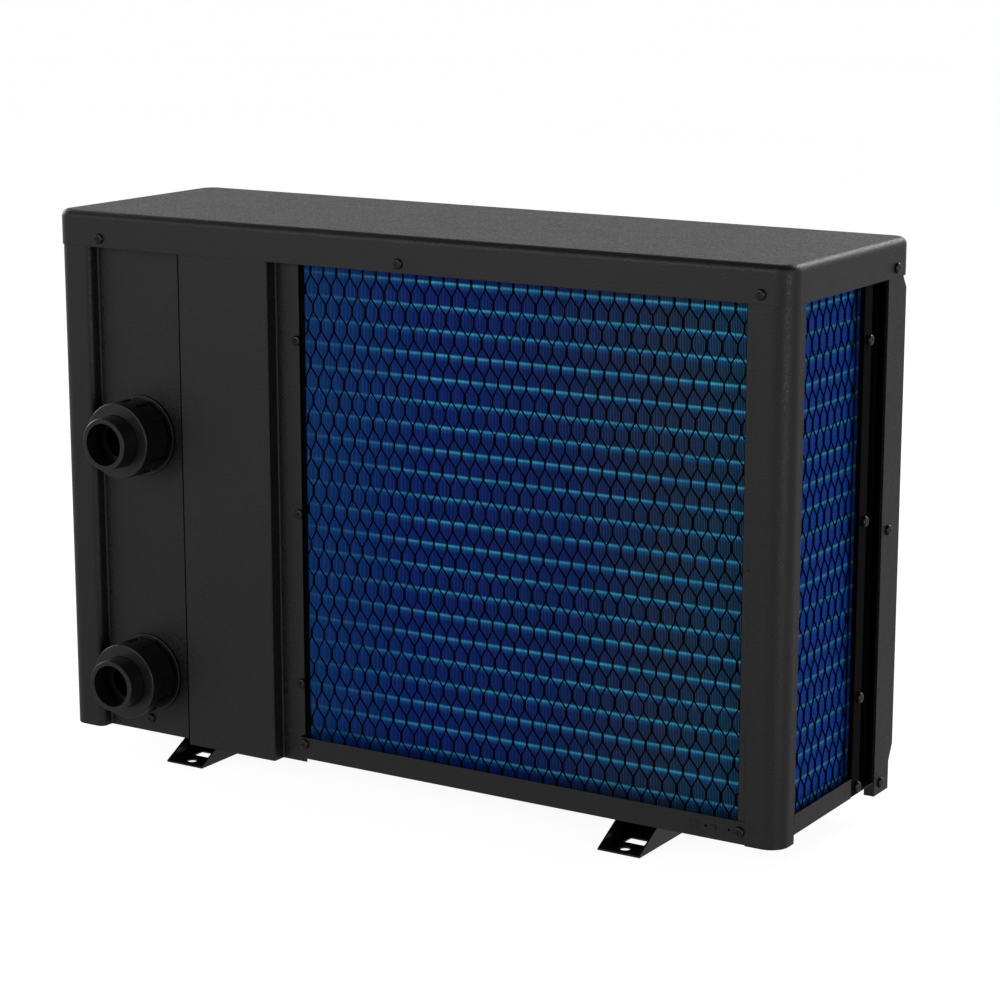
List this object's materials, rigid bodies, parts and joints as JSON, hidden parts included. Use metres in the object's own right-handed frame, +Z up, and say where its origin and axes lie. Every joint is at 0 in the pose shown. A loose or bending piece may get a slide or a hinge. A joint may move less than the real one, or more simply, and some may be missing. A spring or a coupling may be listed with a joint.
{
  "type": "heat pump unit",
  "caption": "Outdoor pool heat pump with a wrapped fin coil behind a wire guard, a fan with a round grille, two water unions, a keypad and two channel feet.",
  "frame": {"origin": "on the floor, at the centre of the four foot bolt holes", "axes": "+Z up, +Y out of the face with the water unions and the coil, +X towards the end with the unions, -Y out of the fan grille"},
  "size_m": [0.9849, 0.3735, 0.658],
  "materials": {
    "casing_paint": "satin powder coat",
    "strip_paint": "black powder coat",
    "pan_paint": "satin powder coat",
    "foot_paint": "gloss black",
    "zinc": "galvanised",
    "screw_black": "black zinc",
    "union_plastic": "moulded",
    "seal_rubber": "matt",
    "bezel_plastic": "fine grain",
    "window": "smoked",
    "button_plastic": "fine grain",
    "blue_fins": "coated aluminium",
    "copper": "drawn",
    "guard_wire": "plastic coated",
    "fan_plastic": "moulded",
    "motor_paint": "satin",
    "steel": "turned",
    "vessel": "moulded",
    "pipe_plastic": "moulded",
    "board_green": "lacquered"
  },
  "bodies": {
    "casing": {"base_pan": "pan_paint", "cable_gland": "bezel_plastic", "casing_screws": "screw_black", "coil_guard": "guard_wire", "compressor": "motor_paint", "compressor_grommets": "seal_rubber", "condenser_line": "copper", "connection_panel": "casing_paint", "control_board": "board_green", "control_box": "zinc", "controller_bezel": "bezel_plastic", "controller_window": "window", "corner_post": "casing_paint", "discharge_line": "copper", "drain_spigot": "union_plastic", "end_strip": "strip_paint", "evaporator_end_plates": "strip_paint", "evaporator_fins": "blue_fins", "evaporator_tubes": "copper", "expansion_valve": "copper", "fan_grille": "guard_wire", "fan_motor": "motor_paint", "filter_drier": "copper", "flow_switch": "bezel_plastic", "foot_bolts": "zinc", "foot_coil_end": "foot_paint", "foot_water_end": "foot_paint", "front_panel": "casing_paint", "gas_line": "copper", "hand_hold": "bezel_plastic", "heat_exchanger_coil": "steel", "heat_exchanger_shell": "vessel", "inlet_seal": "seal_rubber", "inlet_spigot": "union_plastic", "inlet_tail": "union_plastic", "inlet_water_pipe": "pipe_plastic", "liquid_line": "copper", "motor_bracket": "zinc", "outlet_seal": "seal_rubber", "outlet_spigot": "union_plastic", "outlet_tail": "union_plastic", "outlet_water_pipe": "pipe_plastic", "partition": "zinc", "reversing_valve": "copper", "service_panel": "casing_paint", "side_panel": "casing_paint", "suction_accumulator": "motor_paint", "suction_line": "copper", "terminal_block": "bezel_plastic", "top_cover": "casing_paint"},
    "fan": {"fan_blades": "fan_plastic", "fan_shaft": "steel", "fan_nut": "steel"},
    "outlet_union_nut": {"outlet_nut": "union_plastic"},
    "inlet_union_nut": {"inlet_nut": "union_plastic"},
    "power_button": {"button_power": "button_plastic"},
    "mode_button": {"button_mode": "button_plastic"},
    "down_button": {"button_down": "button_plastic"},
    "up_button": {"button_up": "button_plastic"},
    "paddle": {"flow_paddle": "fan_plastic"}
  },
  "joints": [
    {"name": "fan_spin", "type": "hinge", "parent": "casing", "child": "fan", "pos_m": [-0.165, -0.092, 0.342], "axis": [0, 1, 0], "continuous": true},
    {"name": "outlet_nut_turn", "type": "hinge", "parent": "casing", "child": "outlet_union_nut", "pos_m": [0.363, 0.16, 0.3945], "axis": [0, 1, 0], "continuous": true},
    {"name": "inlet_nut_turn", "type": "hinge", "parent": "casing", "child": "inlet_union_nut", "pos_m": [0.363, 0.16, 0.102], "axis": [0, 1, 0], "continuous": true},
    {"name": "flow_paddle_swing", "type": "hinge", "parent": "casing", "child": "paddle", "pos_m": [0.363, 0.092, 0.4175], "axis": [1, 0, 0], "range_deg": [0, 20]},
    {"name": "power_button_press", "type": "slide", "parent": "casing", "child": "power_button", "axis": [0, 1, 0], "range_m": [0, 0.0015], "stiffness_N_per_m": 600, "springref_m": -0.0003},
    {"name": "mode_button_press", "type": "slide", "parent": "casing", "child": "mode_button", "axis": [0, 1, 0], "range_m": [0, 0.0015], "stiffness_N_per_m": 600, "springref_m": -0.0003},
    {"name": "down_button_press", "type": "slide", "parent": "casing", "child": "down_button", "axis": [0, 1, 0], "range_m": [0, 0.0015], "stiffness_N_per_m": 600, "springref_m": -0.0003},
    {"name": "up_button_press", "type": "slide", "parent": "casing", "child": "up_button", "axis": [0, 1, 0], "range_m": [0, 0.0015], "stiffness_N_per_m": 600, "springref_m": -0.0003}
  ]
}
